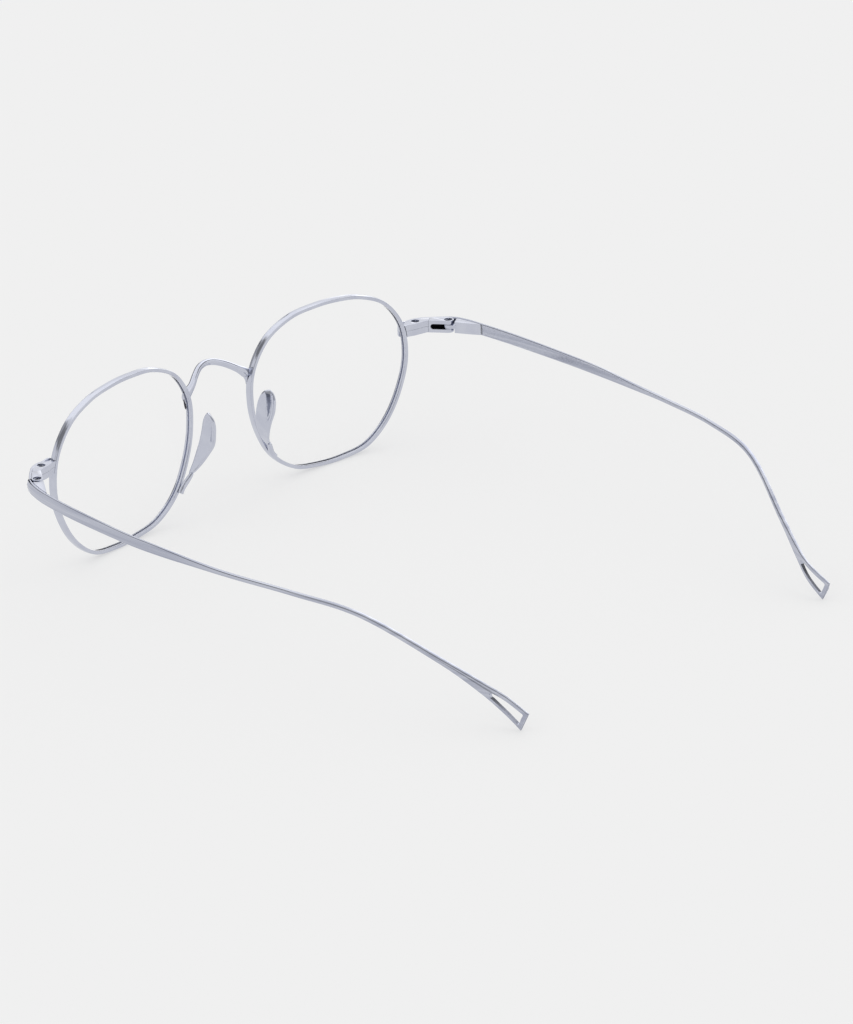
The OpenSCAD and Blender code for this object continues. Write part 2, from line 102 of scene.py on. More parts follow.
def unit(v):
    v = np.asarray(v, float)
    return v / np.linalg.norm(v, axis=-1, keepdims=True)


def headings(p, closed=False):
    """Unit direction of a path at each of its points."""
    if closed:
        return unit(np.roll(p, -1, 0) - np.roll(p, 1, 0))
    return unit(np.concatenate([p[1:], p[-1:]]) - np.concatenate([p[:1], p[:-1]]))


def beside(c, d):
    """A plane curve moved to its left by d."""
    h = headings(c[:, :2])
    return c[:, :2] + d * np.stack([-h[:, 1], h[:, 0]], 1)


def lens_outline(r, steps=8):
    """The lens outline about its own middle, moved outwards by r."""
    c = closed_curve([(u * LENS_W / 2, v * LENS_H / 2) for u, v in OUTLINE], steps)
    h = headings(c, closed=True)
    return c + r * np.stack([h[:, 1], -h[:, 0]], 1), np.stack([h[:, 1], -h[:, 0]], 1)


def bow(r):
    return BASE_RADIUS - np.sqrt(BASE_RADIUS ** 2 - r * r)


# Places
RIM_OUT = RIM_T - GROOVE_D
LENS_X = (LENS_GAP + LENS_W) / 2
LENS_Z = -lens_outline(RIM_OUT, 5)[0][:, 1].min()
SIDE_X = LENS_X + (LENS_W / 2 + RIM_OUT) * math.cos(WRAP)
SIDE_Y = LENS_W / 2 * math.sin(WRAP) + bow(LENS_W / 2)
HINGE_X, HINGE_Y, HINGE_Z = SIDE_X + HINGE_OUT, SIDE_Y + HINGE_BACK, LENS_Z + HINGE_UP
KNUCKLE_R = KNUCKLE_W / 2
PLATE_OUT = KNUCKLE_R + PLATE_T + 0.06
screw_low, screw_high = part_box("hinge_screw_left")
SHIFT_Y = (screw_low.y + screw_high.y) / 2 / MM - HINGE_Y      # the part's middle is at y = 0


def hinge_point(p, q):
    """Seen from above: p outwards and q back from the left hinge's pin."""
    return (HINGE_X + p * math.cos(HINGE_TURN) + q * math.sin(HINGE_TURN),
            HINGE_Y - p * math.sin(HINGE_TURN) + q * math.cos(HINGE_TURN))


def from_lens(u, y, v):
    """A point of the left lens's frame (out, back, up) in the frame of the glasses."""
    return np.stack([LENS_X + u * math.cos(WRAP) - y * math.sin(WRAP),
                     u * math.sin(WRAP) + y * math.cos(WRAP), LENS_Z + v + 0 * u], -1)


# Meshes
def link(obj):
    bpy.context.scene.collection.objects.link(obj)
    return obj


def line_mesh(name, points, closed, vectors, numbers):
    """A polyline that carries named values at its points."""
    n = len(points)
    mesh = bpy.data.meshes.new(name)
    edges = [(i, i + 1) for i in range(n - 1)] + ([(n - 1, 0)] if closed else [])
    mesh.from_pydata([tuple(p) for p in points], edges, [])
    for key, rows in vectors.items():
        a = mesh.attributes.new(key, "FLOAT_VECTOR", "POINT")
        a.data.foreach_set("vector", np.asarray(rows, np.float32).ravel())
    for key, rows in numbers.items():
        a = mesh.attributes.new(key, "FLOAT", "POINT")
        a.data.foreach_set("value", np.asarray(rows, np.float32).ravel())
    return link(bpy.data.objects.new(name, mesh))


def bar_section(name, per_corner=7, per_side=5, groove=False, flute=0.0):
    """The outline of a rounded bar: the corner of each point, how it turns round that corner,
    its share of the outer side's crown, and where the groove in the inner side takes it."""
    flute_at, flute_w = -0.15, 0.16
    corner, bend, crown, cut = [], [], [], []

    def add(at, way, rise=0, into=(0, 0)):
        corner.append((*at, 0))
        bend.append((*way, 0))
        crown.append(rise)
        cut.append((*into, 0))

    signs = [(1, 1), (-1, 1), (-1, -1), (1, -1)]
    outs = [(0, 1), (-1, 0), (0, -1), (1, 0)]
    for k, ((sx, sy), out) in enumerate(zip(signs, outs)):
        for a in np.linspace(0, math.pi / 2, per_corner) + k * math.pi / 2:
            add((sx, sy), (math.cos(a), math.sin(a)))
        if groove and k == 1:
            for into in ((0, 1), (1, 1), (1, -1), (0, -1)):
                add((-1, 0), out, into=into)
            continue
        nx, ny = signs[(k + 1) % 4]
        for t in np.linspace(-1, 1, per_side + 2)[1:-1]:
            rise = 0
            if k == 3:
                rise = (1 - t * t) ** 2 - flute * math.exp(-((t - flute_at) / flute_w) ** 2)
            add((sx + (nx - sx) * (t + 1) / 2, sy + (ny - sy) * (t + 1) / 2), out, rise)
    corner, bend = np.array(corner, float), np.array(bend, float)
    return line_mesh(name, (corner + bend) * MM, True, {"corner": corner, "bend": bend, "cut": cut},
                     {"crown": crown})


class Tree:
    """A Geometry Nodes tree under construction."""

    def __init__(self, name, inputs):
        self.tree = bpy.data.node_groups.new(name, "GeometryNodeTree")
        face = self.tree.interface
        face.new_socket("Geometry", in_out="INPUT", socket_type="NodeSocketGeometry")
        for label, kind, default in inputs:
            s = face.new_socket(label, in_out="INPUT", socket_type=kind)
            if default is not None:
                s.default_value = default
        face.new_socket("Geometry", in_out="OUTPUT", socket_type="NodeSocketGeometry")
        self.given = self.tree.nodes.new("NodeGroupInput")
        self.result = self.tree.nodes.new("NodeGroupOutput")

    def node(self, kind, **links):
        """Adds a node. Names in links are its input sockets, with _ for a space."""
        n = self.tree.nodes.new("GeometryNode" + kind)
        for key, value in links.items():
            self.plug(n.inputs[key.replace("_", " ")], value)
        return n

    def plug(self, socket, value):
        if isinstance(value, bpy.types.NodeSocket):
            self.tree.links.new(value, socket)
        elif isinstance(value, bpy.types.Node):
            self.tree.links.new(value.outputs[0], socket)
        else:
            socket.default_value = value

    def math(self, operation, a, b=0.0):
        n = self.tree.nodes.new("ShaderNodeMath")
        n.operation = operation
        self.plug(n.inputs[0], a)
        self.plug(n.inputs[1], b)
        return n.outputs[0]

    def times(self, a, b):
        return self.math("MULTIPLY", a, b)

    def vector(self, operation, a, b=None, scale=None):
        n = self.tree.nodes.new("ShaderNodeVectorMath")
        n.operation = operation
        self.plug(n.inputs[0], a)
        if b is not None:
            self.plug(n.inputs[1], b)
        if scale is not None:
            self.plug(n.inputs["Scale"], scale)
        return n.outputs[0]

    def carried(self, name, kind="FLOAT"):
        """A value that the path or the section carries at its points."""
        n = self.tree.nodes.new("GeometryNodeInputNamedAttribute")
        n.data_type = kind
        n.inputs["Name"].default_value = name
        return n.outputs["Attribute"]

    def joined(self, x, y, z):
        n = self.tree.nodes.new("ShaderNodeCombineXYZ")
        for socket, value in zip(n.inputs, (x, y, z)):
            self.plug(socket, value)
        return n.outputs[0]

    def parts(self, vector):
        n = self.tree.nodes.new("ShaderNodeSeparateXYZ")
        self.plug(n.inputs[0], vector)
        return n.outputs


def swept_bar_tree():
    """Sweeps a section along a path. The path carries where each ring stands and its share of each size."""
    t = Tree("swept_bar", [
        ("Section", "NodeSocketObject", None),
        ("Width", "NodeSocketFloat", MM), ("Height", "NodeSocketFloat", MM),
        ("Rounding", "NodeSocketFloat", 1.0), ("Crown", "NodeSocketFloat", 0.0),
        ("Groove width", "NodeSocketFloat", 0.0), ("Groove depth", "NodeSocketFloat", 0.0),
        ("Material", "NodeSocketMaterial", None)])
    given = t.given.outputs
    path = t.node("MeshToCurve", Mesh=given["Geometry"])
    section = t.node("MeshToCurve", Mesh=t.node("ObjectInfo", Object=given["Section"]).outputs["Geometry"])
    tube = t.node("CurveToMesh", Curve=path, Profile_Curve=section, Fill_Caps=True)

    half_w = t.times(t.times(given["Width"], 0.5), t.carried("wide"))
    half_h = t.times(t.times(given["Height"], 0.5), t.carried("high"))
    edge = t.times(t.math("MINIMUM", half_w, half_h), given["Rounding"])
    cx, cy, _ = t.parts(t.carried("corner", "FLOAT_VECTOR"))
    bx, by, _ = t.parts(t.carried("bend", "FLOAT_VECTOR"))
    gx, gy, _ = t.parts(t.carried("cut", "FLOAT_VECTOR"))
    u = t.math("ADD", t.times(cx, t.math("SUBTRACT", half_w, edge)), t.times(bx, edge))
    v = t.math("ADD", t.times(cy, t.math("SUBTRACT", half_h, edge)), t.times(by, edge))
    flat = t.math("DIVIDE", t.math("SUBTRACT", half_h, edge), half_h)
    drop = t.times(given["Crown"], t.times(flat, flat))
    outer = t.times(t.math("ADD", cx, 1.0), 0.5)
    u = t.math("SUBTRACT", u, t.times(drop, t.times(outer, t.math("SUBTRACT", 1.0, t.carried("crown")))))
    u = t.math("ADD", u, t.times(gx, given["Groove depth"]))
    v = t.math("ADD", v, t.times(t.times(gy, given["Groove width"]), 0.5))
    sideways = t.vector("SCALE", t.carried("side", "FLOAT_VECTOR"), scale=u)
    upwards = t.vector("SCALE", t.carried("up", "FLOAT_VECTOR"), scale=v)
    at = t.vector("ADD", t.carried("place", "FLOAT_VECTOR"), t.vector("ADD", sideways, upwards))
    skin = t.node("SetPosition", Geometry=tube, Position=at)
    smooth = t.node("SetShadeSmooth", Geometry=skin)
    real = t.node("RealizeInstances", Geometry=smooth)
    done = t.node("SetMaterial", Geometry=real, Material=given["Material"])
    t.plug(t.result.inputs[0], done)
    return t.tree


def run_tree(obj, tree, **sizes):
    """Runs a tree on obj and returns its result as a plain mesh in a new object of the same name."""
    modifier = obj.modifiers.new("shape", "NODES")
    modifier.node_group = tree
    sockets = [s for s in tree.interface.items_tree if getattr(s, "in_out", "") == "INPUT"]
    names = {s.name: s.identifier for s in sockets}
    for key, value in sizes.items():
        modifier[names[key.replace("_", " ")]] = value
    return plain(obj)


def plain(obj):
    """The evaluated shape of obj as a plain mesh, without its modifiers."""
    bpy.context.view_layer.update()
    graph = bpy.context.evaluated_depsgraph_get()
    mesh = bpy.data.meshes.new_from_object(obj.evaluated_get(graph), depsgraph=graph)
    name = obj.name
    bpy.data.objects.remove(obj)
    mesh.name = name
    return link(bpy.data.objects.new(name, mesh))


SAME_PLACE = 1e-7      # points closer than this, in metres, become one


def edit(obj, *steps):
    """Runs bmesh steps on a piece, then turns its faces outwards."""
    bm = bmesh.new()
    bm.from_mesh(obj.data)
    bmesh.ops.remove_doubles(bm, verts=bm.verts, dist=SAME_PLACE)
    for step in steps:
        step(bm)
    bmesh.ops.recalc_face_normals(bm, faces=bm.faces)
    bm.to_mesh(obj.data)
    bm.free()
    return obj


def solid(name, verts, faces):
    """A piece made of points in millimetres and the faces between them."""
    mesh = bpy.data.meshes.new(name)
    points = (np.asarray(verts, float) + [0, SHIFT_Y, 0]) * MM
    mesh.from_pydata([tuple(v) for v in points], [], faces)
    return edit(link(bpy.data.objects.new(name, mesh)))


def band(a, b, n):
    """The faces between two rings of n points, from the numbers of their first points."""
    return [(a + j, a + (j + 1) % n, b + (j + 1) % n, b + j) for j in range(n)]


def fan(a, middle, n):
    """The faces between a ring of n points and one point."""
    return [(a + j, a + (j + 1) % n, middle) for j in range(n)]


def solid_between(name, near, far):
    """The solid between two rings of the same number of points."""
    n = len(near)
    faces = [tuple(range(n)), tuple(range(2 * n - 1, n - 1, -1))]
    faces += [(j, n + j, n + (j + 1) % n, (j + 1) % n) for j in range(n)]
    return solid(name, np.concatenate([near, far]), faces)


def prism(name, ring, low, high):
    """A plan raised from low to high."""
    return solid_between(name, *([(x, y, z) for x, y in ring] for z in (low, high)))


def side_prism(name, ring, near, far):
    """A shape seen from the side, drawn across the glasses."""
    return solid_between(name, *([(x, y, z) for y, z in ring] for x in (near, far)))


def disc(x, y, r, low, high, steps=48):
    turns = np.linspace(0, 2 * math.pi, steps, endpoint=False)
    return prism("round cutter", [(x + r * math.cos(a), y + r * math.sin(a)) for a in turns], low, high)


def carve(obj, *cutters):
    """Takes the cutters out of a piece."""
    for cutter in cutters:
        m = obj.modifiers.new("cut", "BOOLEAN")
        m.operation = "DIFFERENCE"
        m.solver = "EXACT"
        m.object = cutter
        obj = plain(obj)
        bpy.data.objects.remove(cutter)
    return edit(obj)


def cut_off(point, normal):
    """A step that cuts a mesh at a plane, drops what lies beyond it and closes the end."""
    def step(bm):
        found = bmesh.ops.bisect_plane(
            bm, geom=bm.verts[:] + bm.edges[:] + bm.faces[:], dist=SAME_PLACE,
            plane_co=Vector(point), plane_no=Vector(normal), clear_outer=True)
        rim = [e for e in found["geom_cut"] if isinstance(e, bmesh.types.BMEdge)]
        bmesh.ops.holes_fill(bm, edges=rim, sides=0)
    return step


def ease(obj, width, segments=3, angle=40):
    """Softens a piece's sharp edges."""
    m = obj.modifiers.new("eased edges", "BEVEL")
    m.width = width * MM
    m.segments = segments
    m.limit_method = "ANGLE"
    m.angle_limit = math.radians(angle)
    return plain(obj)


def shade(obj, material, angle=38):
    mesh = obj.data
    mesh.materials.clear()
    mesh.materials.append(material)
    mesh.polygons.foreach_set("use_smooth", [True] * len(mesh.polygons))
    mesh.set_sharp_from_angle(angle=math.radians(angle))


def mirrored(obj, name):
    """The same piece on the wearer's right."""
    other = link(bpy.data.objects.new(name, obj.data.copy()))
    other.data.transform(Matrix.Scale(-1, 4, (1, 0, 0)))
    other.data.flip_normals()
    return other


def both_sides(obj, stem, material, angle=38, bodies=("front", "front")):
    """Dresses a left piece, makes its right twin and puts each in its node's place."""
    obj.name = stem + "_left_dressed"
    shade(obj, material, angle)
    twin = mirrored(obj, stem + "_right_dressed")
    shade(twin, material, angle)
    for piece, side, body in ((obj, "left", bodies[0]), (twin, "right", bodies[1])):
        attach(piece, body)
        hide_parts(stem + "_" + side)
    return obj, twin


def darken(pieces, test, finish):
    """Gives the faces that pass the test a second material, on a left piece and its twin: painted shade, a
    painted dark reflection, or the darker seam.
    """
    for piece in pieces:
        piece.data.materials.append(finish)
        for face in piece.data.polygons:
            x, y, z = face.center / MM
            outwards = face.normal.x if x > 0 else -face.normal.x
            if test(abs(x), y - SHIFT_Y, z, outwards):
                face.material_index = 1


def sweep(name, path, side, up, wide, high, section, closed=False, **sizes):
    """A bar along a path given in millimetres."""
    place = (path + [0, SHIFT_Y, 0]) * MM
    obj = line_mesh(name, place, closed, {"place": place, "side": side, "up": up}, {"wide": wide, "high": high})
    return run_tree(obj, SWEPT_BAR, Section=section, Material=titanium, **sizes)


def level_frame(path):
    """Side and up of each ring of a path that runs along the glasses, the side one level."""
    d = headings(path)
    side = unit(np.stack([d[:, 1], -d[:, 0], 0 * d[:, 0]], 1))
    return side, np.cross(side, d)


def nose_frame(path):
    """Side and up of each ring of a path that runs across the nose."""
    d = headings(path)
    top = unit(np.cross(d, [0, 1, 0]))
    return np.cross(top, d), top


# Materials
class Finish:
    """A material under construction."""

    def __init__(self, name):
        self.material = bpy.data.materials.new(name)
        self.material.use_nodes = True
        self.nodes = self.material.node_tree.nodes
        self.links = self.material.node_tree.links
        self.shader = self.nodes["Principled BSDF"]
        self.place = self.nodes.new("ShaderNodeTexCoord").outputs["Object"]

    def add(self, kind, **values):
        n = self.nodes.new("ShaderNode" + kind)
        for key, value in values.items():
            setattr(n, key, value)
        return n

    def feed(self, socket, value):
        if isinstance(value, bpy.types.NodeSocket):
            self.links.new(value, socket)
        else:
            socket.default_value = value

    def grain(self, stretch, scale, detail):
        """Noise on the piece, stretched along an axis."""
        turn = self.add("Mapping")
        self.feed(turn.inputs["Vector"], self.place)
        turn.inputs["Scale"].default_value = stretch
        n = self.add("TexNoise")
        self.feed(n.inputs["Vector"], turn.outputs[0])
        n.inputs["Scale"].default_value = scale
        n.inputs["Detail"].default_value = detail
        n.inputs["Roughness"].default_value = 0.55
        return n.outputs["Fac"]

    def span(self, value, low, high, start=0.3, end=0.7):
        """A value between start and end turned into one between low and high."""
        n = self.add("MapRange")
        self.feed(n.inputs["Value"], value)
        n.inputs["From Min"].default_value = start
        n.inputs["From Max"].default_value = end
        n.inputs["To Min"].default_value = low
        n.inputs["To Max"].default_value = high
        return n.outputs[0]

    def blend(self, share, a, b):
        """A colour between a and b."""
        n = self.add("Mix", data_type="RGBA")
        self.feed(n.inputs["Factor"], share)
        for s in n.inputs:
            if s.type == "RGBA" and s.name in "AB":
                s.default_value = (*(a if s.name == "A" else b), 1)
        return [o for o in n.outputs if o.type == "RGBA"][0]

    def bump(self, height, distance, strength):
        n = self.add("Bump")
        n.inputs["Strength"].default_value = strength
        n.inputs["Distance"].default_value = distance * MM
        self.feed(n.inputs["Height"], height)
        self.feed(self.shader.inputs["Normal"], n.outputs[0])


def metal_finish(name, pale, deep, smooth, rough, grain_depth, streaks=False):
    """Satin metal: fine lengthwise polishing lines, faint cloudiness in tone and gloss.
    With streaks the tone runs in long bands from front to back, as on a drawn bar."""
    f = Finish(name)
    f.shader.inputs["Metallic"].default_value = 1.0
    lines = f.grain((9, 1.2, 9), 700, 2.0)
    cloud = f.grain((1, 1, 1), 260, 3.0)
    tone = f.grain((0.04, 0.03, 1), 1100, 1.5) if streaks else cloud
    f.feed(f.shader.inputs["Base Color"], f.blend(f.span(tone, 0, 1), pale, deep))
    both = f.add("Math", operation="ADD")
    f.feed(both.inputs[0], f.span(lines, 0, 0.6))
    f.feed(both.inputs[1], f.span(cloud, 0, 0.4))
    f.feed(f.shader.inputs["Roughness"], f.span(both.outputs[0], smooth, rough, 0, 1))
    f.bump(lines, grain_depth, 0.5)
    return f.material


titanium = metal_finish("satin titanium", (0.61, 0.63, 0.71), (0.55, 0.57, 0.66), 0.08, 0.18, 0.002)
# The temples' titanium is painted darker than the front's, as painted shade for the darker surroundings they
# mirror; its long streaks are the drawn bar's grain.
brushed_titanium_painted_darker = metal_finish("brushed titanium", (0.57, 0.59, 0.67), (0.41, 0.43, 0.52), 0.10, 0.20, 0.002,
                                streaks=True)
# Titanium darkened to paint the dark reflection in the nose pads' fold.
painted_reflection_titanium = metal_finish("deep titanium", (0.24, 0.26, 0.34), (0.18, 0.20, 0.28), 0.15, 0.25, 0.002)
# Near-black metal that paints shade: inside the hinge's slot, behind it, and on the bridge's feet.
painted_shade_metal = metal_finish("dark cut faces", (0.07, 0.07, 0.09), (0.04, 0.04, 0.05), 0.35, 0.5, 0.004)
screw_steel = metal_finish("dark screw steel", (0.30, 0.31, 0.34), (0.22, 0.23, 0.26), 0.2, 0.35, 0.003)


def lens_finish():
    f = Finish("clear lens")
    s = f.shader.inputs
    s["Base Color"].default_value = (1, 1, 1, 1)
    s["Roughness"].default_value = 0.0
    s["IOR"].default_value = 1.1
    s["Transmission Weight"].default_value = 1.0
    return f.material


clear_lens = lens_finish()

# Pieces
SWEPT_BAR = swept_bar_tree()
plain_section = bar_section("plain section", per_side=9)
grooved_section = bar_section("grooved section", per_side=9, groove=True)
round_section = bar_section("round section", per_corner=9, per_side=0)
fluted_section = bar_section("fluted section", per_side=19, flute=0.45)


def make_rims():
    outline, outward = lens_outline((RIM_OUT - GROOVE_D - RIM_LIP) / 2, RIM_STEPS)
    core, _ = lens_outline(0, RIM_STEPS)
    path = from_lens(outline[:, 0], bow(np.linalg.norm(core, axis=1)), outline[:, 1])
    side = np.stack([outward[:, 0] * math.cos(WRAP), outward[:, 0] * math.sin(WRAP), outward[:, 1]], 1)
    up = np.tile([-math.sin(WRAP), math.cos(WRAP), 0], (len(path), 1))
    ones = np.ones(len(path))
    rim = sweep("rim", path, side, up, ones, ones, grooved_section, True,
                Width=(RIM_T + RIM_LIP) * MM, Height=RIM_D * MM, Rounding=0.35, Crown=0.1 * MM,
                Groove_width=GROOVE_W * MM, Groove_depth=(GROOVE_D + SEAT_GAP + RIM_LIP) * MM)
    edit(rim)
    both_sides(rim, "rim", titanium)


def make_lenses():
    """Both faces follow the base curve, and the edge is bevelled to the width of the rim's groove."""
    rings_in, play, bevel = 22, 0.02, 0.1
    edge, _ = lens_outline(-play, LENS_STEPS)
    outline, _ = lens_outline(-GROOVE_D - RIM_LIP - play, LENS_STEPS)
    face_rings = [(edge, GROOVE_W / 2 - SEAT_GAP), (outline, LENS_T / 2 - bevel)]
    face_rings += [(outline * (0.995 - k / rings_in), LENS_T / 2) for k in range(rings_in - 1)]
    n, m = len(outline), len(face_rings)
    verts = [from_lens(c[:, 0], bow(np.linalg.norm(c, axis=1)) + face * half, c[:, 1])
             for face in (-1, 1) for c, half in face_rings]
    verts += [from_lens(np.zeros(1), np.array([face * LENS_T / 2]), np.zeros(1)) for face in (-1, 1)]
    faces = []
    for f in (0, 1):
        for i in range(m - 1):
            faces += band((f * m + i) * n, (f * m + i + 1) * n, n)
        faces += fan((f * m + m - 1) * n, 2 * m * n + f, n)
    lens = solid("lens", np.concatenate(verts), faces + band(0, m * n, n))
    pieces = both_sides(lens, "lens", clear_lens)
    for piece in pieces:
        piece.visible_shadow = piece.visible_diffuse = False      # clear plastic leaves no shade on the floor


def make_bridge():
    root_x = LENS_GAP / 2 - 0.2
    root_y = -LENS_W / 2 * math.sin(WRAP) + bow(LENS_W / 2) - RIM_D / 2 - 0.18
    root_z = LENS_Z + BRIDGE_UP
    arch = [(0.257, 0.863, 0.924, 1), (0.513, 0.503, 0.71, 1), (0.77, 0.107, 0.378, 1.1), (1, 0, 0.03, 1.5)]
    half = [(a * root_x, root_y - b * BRIDGE_BOW, root_z + c * BRIDGE_RISE, w) for a, b, c, w in arch]
    half += [(root_x + a, root_y + b, root_z - c * FOOT_L, w) for a, b, c, w in
             [(0.4, 0.2, 0.4, 0.9), (0.5, 0.3, 0.75, 0.7), (0.5, 0.3, 1, 0.45)]]
    rows = [(-x, y, z, w) for x, y, z, w in half[::-1]]
    rows += [(0, root_y - BRIDGE_BOW, root_z + BRIDGE_RISE, 1)] + half
    path = open_curve(rows, 12)
    side, up = nose_frame(path[:, :3])
    bridge = sweep("bridge_dressed", path[:, :3], side, up, path[:, 3], path[:, 3], round_section,
                   Width=BRIDGE_D * MM, Height=BRIDGE_D * MM, Rounding=1.0)
    edit(bridge)
    shade(bridge, titanium)
    # Painted shade: the feet's lower part, where they meet the rims, is coloured near-black.
    shaded_to, shaded_under = root_x + 1.25, root_z - 0.3      # the shaded part of each foot
    darken([bridge], lambda x, y, z, outwards: root_x < x < shaded_to and z < shaded_under, painted_shade_metal)
    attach(bridge, "front")
    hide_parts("bridge")


PAD_X, PAD_Y, PAD_Z = LENS_GAP / 2 - 0.75, 2.0, LENS_Z - 9.8
PAD_OUTLINE = [(-0.14, 0.03), (0.08, 0.05), (0.33, 0.17), (0.61, 0.33), (0.85, 0.48), (1.02, 0.65),
               (1.08, 0.81), (1.02, 0.92), (0.85, 0.98), (0.63, 1), (0.4, 0.95), (0.2, 0.84), (0.07, 0.69),
               (-0.05, 0.5), (-0.15, 0.27)]
PAD_STRIP = [(3.95, 0), (3.2, 0.07), (2, 0.18), (0.95, 0.33), (0.25, 0.48), (-0.1, 0.66), (0.05, 0.85),
             (0.35, 1.04)]
ARM_LIFT = 0.12


def fold_line(z):
    """Where the fold runs, a little inside the paddle's back edge."""
    high = [0.45, 0.65, 0.81, 0.92, 1.0]
    return PAD_Y + PAD_D * (np.interp((z - PAD_Z) / PAD_L, high, [0.86, 0.99, 1.05, 0.99, 0.85]) - 0.22)


def pad_curl(c):
    """How far the paddle's upper back edge is bent away from the nose."""
    back = np.clip((c[:, 0] - fold_line(c[:, 1])) / (0.2 * PAD_D) + 0.5, 0, 1)
    high = np.clip((c[:, 1] - PAD_Z - 0.45 * PAD_L) / (0.25 * PAD_L), 0, 1)
    return 0.75 * back ** 2 * (3 - 2 * back) * high ** 2 * (3 - 2 * high)


def make_pads():
    """A thin curved paddle: the strip's curve seen from the front, cut to its outline from the side."""
    side = closed_curve([(PAD_Y + a * PAD_D, PAD_Z + b * PAD_L) for a, b in PAD_OUTLINE], 8)
    strip = open_curve([(PAD_X + a, PAD_Z + b * PAD_L) for a, b in PAD_STRIP], 12)
    slope = headings(strip)
    middle, n = side.mean(axis=0), len(side)
    # The rings of a face, from the edge inwards: share of the outline, and of half the thickness
    rings = [(1 - 0.16 * (1 - math.cos(a)) * 0.9, math.sin(a)) for a in np.linspace(0, math.pi / 2, 7)]
    rings += [(share, 1) for share in np.linspace(rings[-1][0], 0, 24)[1:-1]]
    verts, starts, faces = [], [], []
    for face, chosen in ((1, rings), (-1, rings[1:])):
        for share, lift in [*chosen, (0, 1)]:
            c = middle + (side - middle) * share if share else middle[None]
            x, hx, hz = (np.interp(c[:, 1], strip[:, 1], v) for v in (strip[:, 0], slope[:, 0], slope[:, 1]))
            h = np.hypot(hx, hz)
            half = face * lift * PAD_T / 2
            starts.append(sum(len(v) for v in verts))
            verts.append(np.stack([x + pad_curl(c) + half * hz / h, c[:, 0], c[:, 1] - half * hx / h], 1))
    count = len(rings)
    for chain in (range(count + 1), [0, *range(count + 1, 2 * count + 1)]):
        for a, b in zip(chain[:-1], chain[1:]):
            join = fan if len(verts[b]) == 1 else band
            faces += join(starts[a], starts[b], n)
    pad = solid("nose_pad", np.concatenate(verts), faces)
    pieces = both_sides(pad, "nose_pad", titanium)

    # Painted reflection: the fold near the paddle's upper back edge, on its nose side, is coloured darker.
    def in_fold(x, y, z, outwards):
        rise = np.clip((z - PAD_Z - 0.6 * PAD_L) / (0.25 * PAD_L), 0, 1)
        return outwards < 0 and abs(y - fold_line(z)) < 0.34 * math.sqrt(rise) and z < PAD_Z + 0.955 * PAD_L

    darken(pieces, in_fold, painted_reflection_titanium)


def make_pad_arms():
    edge, _ = lens_outline(0, 5)
    seats = [(edge[i] + edge[i + 1]) / 2 for i in (53, 54)]
    seat = [from_lens(s[0] - ARM_LIFT, bow(np.linalg.norm(s)) + (RIM_D + ARM_D) / 2 + ARM_LIFT, s[1])
            for s in seats]
    neck = (PAD_X + PAD_STRIP[0][0] + ARM_LIFT, PAD_Y - 0.03 * PAD_D, PAD_Z - ARM_LIFT)
    inside = (neck[0] - 0.55, neck[1] + 0.35, neck[2] + 0.9)
    path = open_curve([inside, neck] + seat, 10)
    side, up = nose_frame(path)
    share = np.interp(np.arange(len(path)), [0, 10, 14], [0.7, 1, 1.1])
    arm = sweep("pad_arm", path, side, up, share, share, round_section, Width=ARM_D * MM, Height=ARM_D * MM,
                Rounding=1.0)
    edit(arm)
    arm = ease(arm, 0.42, 6)
    both_sides(arm, "pad_arm", titanium)


RIM_FRONT_Y = SIDE_Y - RIM_D / 2
# The plate's outer side beside the hinge: how far outside and how far behind the pin
PLATE_LINE = [(PLATE_OUT - 1.25, -5.2), (PLATE_OUT - 0.65, -3), (PLATE_OUT + 0.04, 0.2)]
FACE = open_curve([(SIDE_X - 2, RIM_FRONT_Y - SEAT_GAP - PLATE_T),
                   (SIDE_X + 1.6, RIM_FRONT_Y - SEAT_GAP - PLATE_T - 0.05), (SIDE_X + 3.4, SIDE_Y - 1.45),
                   (SIDE_X + 5.3, SIDE_Y - 0.7)] + [hinge_point(p, q) for p, q in PLATE_LINE], 14)


def butt_plane(back):
    """The joint between endpiece and temple: a point on it and the way back across the hinge."""
    x, y = hinge_point(0, back)
    return ((x * MM, (y + SHIFT_Y) * MM, 0), (math.sin(HINGE_TURN), math.cos(HINGE_TURN), 0))


def make_endpieces():
    """The plate that wraps the corner, a little taller where it lies on the rim."""
    nose = SIDE_X - 1.6
    tall = open_curve([(nose, BLOCK_H * 0.3), (nose + 0.5, BLOCK_H / 2 + PLATE_LIP * 0.8),
                       (nose + 1.5, BLOCK_H / 2 + PLATE_LIP), (nose + 2.4, BLOCK_H / 2 + PLATE_LIP * 0.4),
                       (nose + 3.2, BLOCK_H / 2), (HINGE_X + 4, BLOCK_H / 2)], 10)
    middle = beside(FACE, PLATE_T / 2)
    middle = middle[middle[:, 0] > nose]
    path = np.column_stack([middle, np.full(len(middle), HINGE_Z)])
    side, up = level_frame(path)
    high = 2 * np.interp(middle[:, 0], tall[:, 0], tall[:, 1]) / BLOCK_H
    plate = sweep("endpiece", path, side, up, np.ones(len(path)), high, plain_section,
                  Width=PLATE_T * MM, Height=BLOCK_H * MM, Rounding=0.3, Crown=0.05 * MM)
    point, back = butt_plane(-BUTT_GAP / 2)
    edit(plate, cut_off(point, back))
    plate = ease(plate, 0.05)

    # Painted shade: the plate's inner face behind the hinge's slot is coloured near-black, like the slot's
    # shadowed inside.
    def behind_slot(x, y, z, outwards):
        p, q = from_pin((x, y))
        line = np.interp(q, [b for _, b in PLATE_LINE], [a for a, _ in PLATE_LINE])
        return abs(z - HINGE_Z) < SLOT_H / 2 + 0.15 and -SLOT_L - 0.1 < q < 0.3 and p < line - PLATE_T / 2

    pieces = both_sides(plate, "endpiece", titanium)
    darken(pieces, behind_slot, painted_shade_metal)


TEMPLE_IN = KNUCKLE_R + BUTT_GAP
START = hinge_point(TEMPLE_IN + TEMPLE_T / 2, -0.2)
